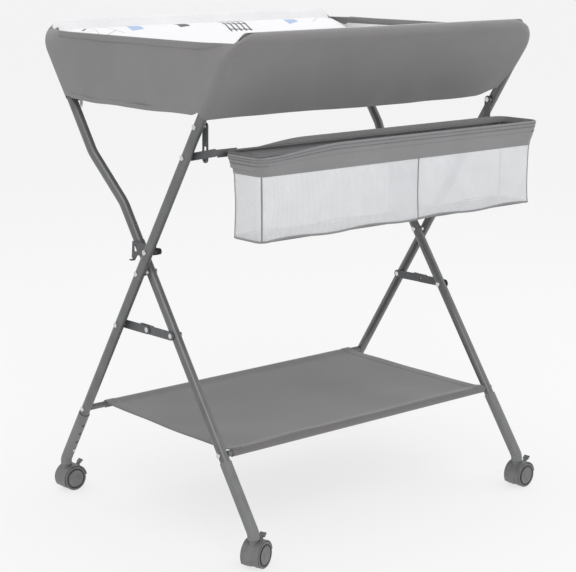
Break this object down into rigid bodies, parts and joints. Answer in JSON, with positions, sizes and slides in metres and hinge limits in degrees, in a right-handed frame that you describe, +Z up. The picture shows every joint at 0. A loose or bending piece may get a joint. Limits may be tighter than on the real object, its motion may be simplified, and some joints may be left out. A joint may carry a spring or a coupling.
{
  "type": "folding changing table",
  "caption": "Folding scissor-frame changing table with a fabric tray and contoured pad, hanging net basket, cloth shelf and braked twin-wheel casters.",
  "frame": {"origin": "on the floor, below the middle of the main pivot line", "axes": "+X along the long side to the right seen from the basket side, +Y from the basket side to the back, +Z up"},
  "size_m": [0.7919, 0.6654, 0.9655],
  "materials": {
    "frame_paint": "satin grey powder coat",
    "sleeve_paint": "matte grey powder coat",
    "bracket_paint": "satin dark grey",
    "zinc_steel": "bright zinc plate",
    "hoop_wire": "satin grey",
    "caster_plastic": "moulded grey plastic",
    "wheel_plastic": "moulded grey plastic",
    "black_rubber": "matte",
    "tray_cloth": "plain-weave polyester",
    "shelf_cloth": "plain-weave polyester",
    "band_cloth": "plain-weave polyester",
    "pad_cloth": "smooth wipe-clean cloth",
    "basket_net": "fine knitted net"
  },
  "bodies": {
    "outer_frame": {"outer_leg_left": "frame_paint", "outer_leg_right": "frame_paint", "front_rim_tube": "frame_paint", "rear_shelf_rail": "frame_paint", "rear_shelf_sleeve": "shelf_cloth", "pivot_bolts": "zinc_steel", "outer_frame_rivets": "zinc_steel", "tray_front_wall": "tray_cloth", "tray_left_wall": "tray_cloth", "tray_right_wall": "tray_cloth", "tray_floor": "tray_cloth", "changing_pad": "pad_cloth", "shelf_panel": "shelf_cloth"},
    "inner_frame": {"inner_leg_left": "frame_paint", "inner_leg_right": "frame_paint", "upper_leg_left": "frame_paint", "upper_leg_right": "frame_paint", "rear_rim_tube": "frame_paint", "front_shelf_rail": "frame_paint", "front_shelf_sleeve": "shelf_cloth", "inner_frame_rivets": "zinc_steel", "latch_catches": "bracket_paint", "tray_rear_wall": "tray_cloth"},
    "rear_brace_links": {"rear_brace_link_left": "bracket_paint", "rear_brace_link_right": "bracket_paint", "brace_middle_rivets": "zinc_steel"},
    "front_brace_links": {"front_brace_link_left": "bracket_paint", "front_brace_link_right": "bracket_paint"},
    "latch_left": {"latch_left": "bracket_paint", "latch_bumper_left": "black_rubber"},
    "latch_right": {"latch_right": "bracket_paint", "latch_bumper_right": "black_rubber"},
    "basket": {"basket_mesh": "basket_net", "basket_band": "band_cloth", "basket_hoop": "hoop_wire", "basket_divider": "basket_net", "basket_arms": "bracket_paint"},
    "basket_struts": {"basket_struts": "bracket_paint"},
    "sleeve_front_left": {"height_sleeve_front_left": "sleeve_paint"},
    "button_front_left": {"height_button_front_left": "zinc_steel"},
    "caster_front_left": {"caster_housing_front_left": "caster_plastic"},
    "wheels_front_left": {"caster_wheels_front_left": "wheel_plastic"},
    "brake_front_left": {"brake_lever_front_left": "caster_plastic"},
    "sleeve_front_right": {"height_sleeve_front_right": "sleeve_paint"},
    "button_front_right": {"height_button_front_right": "zinc_steel"},
    "caster_front_right": {"caster_housing_front_right": "caster_plastic"},
    "wheels_front_right": {"caster_wheels_front_right": "wheel_plastic"},
    "brake_front_right": {"brake_lever_front_right": "caster_plastic"},
    "sleeve_rear_left": {"height_sleeve_rear_left": "sleeve_paint"},
    "button_rear_left": {"height_button_rear_left": "zinc_steel"},
    "caster_rear_left": {"caster_housing_rear_left": "caster_plastic"},
    "wheels_rear_left": {"caster_wheels_rear_left": "wheel_plastic"},
    "brake_rear_left": {"brake_lever_rear_left": "caster_plastic"},
    "sleeve_rear_right": {"height_sleeve_rear_right": "sleeve_paint"},
    "button_rear_right": {"height_button_rear_right": "zinc_steel"},
    "caster_rear_right": {"caster_housing_rear_right": "caster_plastic"},
    "wheels_rear_right": {"caster_wheels_rear_right": "wheel_plastic"},
    "brake_rear_right": {"brake_lever_rear_right": "caster_plastic"}
  },
  "joints": [
    {"name": "frame_fold", "type": "hinge", "parent": "outer_frame", "child": "inner_frame", "pos_m": [0, 0, 0.502], "axis": [1, 0, 0], "range_deg": [0, 54], "deforming": ["tray_left_wall", "tray_right_wall", "tray_floor", "changing_pad", "shelf_panel"]},
    {"name": "rear_brace_fold", "type": "hinge", "parent": "outer_frame", "child": "rear_brace_links", "pos_m": [0, 0.07273, 0.39], "axis": [1, 0, 0], "range_deg": [-50.91, 0]},
    {"name": "front_brace_fold", "type": "hinge", "parent": "inner_frame", "child": "front_brace_links", "pos_m": [0, -0.0766, 0.39261], "axis": [1, 0, 0], "range_deg": [0, 50.91]},
    {"name": "latch_left_lift", "type": "hinge", "parent": "outer_frame", "child": "latch_left", "pos_m": [-0.3625, -0.02922, 0.547], "axis": [1, 0, 0], "range_deg": [0, 25]},
    {"name": "latch_right_lift", "type": "hinge", "parent": "outer_frame", "child": "latch_right", "pos_m": [0.3625, -0.02922, 0.547], "axis": [1, 0, 0], "range_deg": [0, 25]},
    {"name": "basket_swing", "type": "hinge", "parent": "outer_frame", "child": "basket", "pos_m": [0, -0.15261, 0.737], "axis": [-1, 0, 0], "range_deg": [0, 25]},
    {"name": "strut_swing", "type": "hinge", "parent": "outer_frame", "child": "basket_struts", "pos_m": [0, -0.19028, 0.795], "axis": [-1, 0, 0], "range_deg": [-5.5, 0]},
    {"name": "height_slide_front_left", "type": "slide", "parent": "inner_frame", "child": "sleeve_front_left", "axis": [0, -0.5736, -0.8192], "range_m": [0, 0.072], "deforming": ["height_button_front_left"]},
    {"name": "height_button_press_front_left", "type": "slide", "parent": "inner_frame", "child": "button_front_left", "axis": [0, -0.8192, 0.5736], "range_m": [0, 0.0035], "stiffness_N_per_m": 400, "springref_m": -0.002},
    {"name": "caster_swivel_front_left", "type": "hinge", "parent": "sleeve_front_left", "child": "caster_front_left", "pos_m": [-0.35, -0.30529, 0.056], "axis": [0, 0, 1], "continuous": true},
    {"name": "wheel_roll_front_left", "type": "hinge", "parent": "caster_front_left", "child": "wheels_front_left", "pos_m": [-0.34066, -0.30171, 0.025], "axis": [-0.3584, 0.9336, 0], "continuous": true},
    {"name": "brake_press_front_left", "type": "hinge", "parent": "caster_front_left", "child": "brake_front_left", "pos_m": [-0.32479, -0.29562, 0.038], "axis": [-0.3584, 0.9336, 0], "range_deg": [0, 12]},
    {"name": "height_slide_front_right", "type": "slide", "parent": "inner_frame", "child": "sleeve_front_right", "axis": [0, -0.5736, -0.8192], "range_m": [0, 0.072], "deforming": ["height_button_front_right"]},
    {"name": "height_button_press_front_right", "type": "slide", "parent": "inner_frame", "child": "button_front_right", "axis": [0, -0.8192, 0.5736], "range_m": [0, 0.0035], "stiffness_N_per_m": 400, "springref_m": -0.002},
    {"name": "caster_swivel_front_right", "type": "hinge", "parent": "sleeve_front_right", "child": "caster_front_right", "pos_m": [0.35, -0.30529, 0.056], "axis": [0, 0, 1], "continuous": true},
    {"name": "wheel_roll_front_right", "type": "hinge", "parent": "caster_front_right", "child": "wheels_front_right", "pos_m": [0.35998, -0.30459, 0.025], "axis": [-0.0698, 0.9976, 0], "continuous": true},
    {"name": "brake_press_front_right", "type": "hinge", "parent": "caster_front_right", "child": "brake_front_right", "pos_m": [0.37693, -0.30341, 0.038], "axis": [-0.0698, 0.9976, 0], "range_deg": [0, 12]},
    {"name": "height_slide_rear_left", "type": "slide", "parent": "outer_frame", "child": "sleeve_rear_left", "axis": [0, 0.5446, -0.8387], "range_m": [0, 0.072], "deforming": ["height_button_rear_left"]},
    {"name": "height_button_press_rear_left", "type": "slide", "parent": "outer_frame", "child": "button_rear_left", "axis": [0, 0.8387, 0.5446], "range_m": [0, 0.0035], "stiffness_N_per_m": 400, "springref_m": -0.002},
    {"name": "caster_swivel_rear_left", "type": "hinge", "parent": "sleeve_rear_left", "child": "caster_rear_left", "pos_m": [-0.375, 0.28314, 0.056], "axis": [0, 0, 1], "continuous": true},
    {"name": "wheel_roll_rear_left", "type": "hinge", "parent": "caster_rear_left", "child": "wheels_rear_left", "pos_m": [-0.365, 0.28314, 0.025], "axis": [0, 1, 0], "continuous": true},
    {"name": "brake_press_rear_left", "type": "hinge", "parent": "caster_rear_left", "child": "brake_rear_left", "pos_m": [-0.348, 0.28314, 0.038], "axis": [0, 1, 0], "range_deg": [0, 12]},
    {"name": "height_slide_rear_right", "type": "slide", "parent": "outer_frame", "child": "sleeve_rear_right", "axis": [0, 0.5446, -0.8387], "range_m": [0, 0.072], "deforming": ["height_button_rear_right"]},
    {"name": "height_button_press_rear_right", "type": "slide", "parent": "outer_frame", "child": "button_rear_right", "axis": [0, 0.8387, 0.5446], "range_m": [0, 0.0035], "stiffness_N_per_m": 400, "springref_m": -0.002},
    {"name": "caster_swivel_rear_right", "type": "hinge", "parent": "sleeve_rear_right", "child": "caster_rear_right", "pos_m": [0.375, 0.28314, 0.056], "axis": [0, 0, 1], "continuous": true},
    {"name": "wheel_roll_rear_right", "type": "hinge", "parent": "caster_rear_right", "child": "wheels_rear_right", "pos_m": [0.36594, 0.28737, 0.025], "axis": [-0.4226, -0.9063, 0], "continuous": true},
    {"name": "brake_press_rear_right", "type": "hinge", "parent": "caster_rear_right", "child": "brake_rear_right", "pos_m": [0.35053, 0.29455, 0.038], "axis": [-0.4226, -0.9063, 0], "range_deg": [0, 12]}
  ],
  "couplings": [
    {"joint": "rear_brace_fold", "follows": "frame_fold", "ratio": -0.93356},
    {"joint": "front_brace_fold", "follows": "frame_fold", "ratio": 0.93356},
    {"joint": "strut_swing", "follows": "basket_swing", "ratio": -0.2}
  ]
}
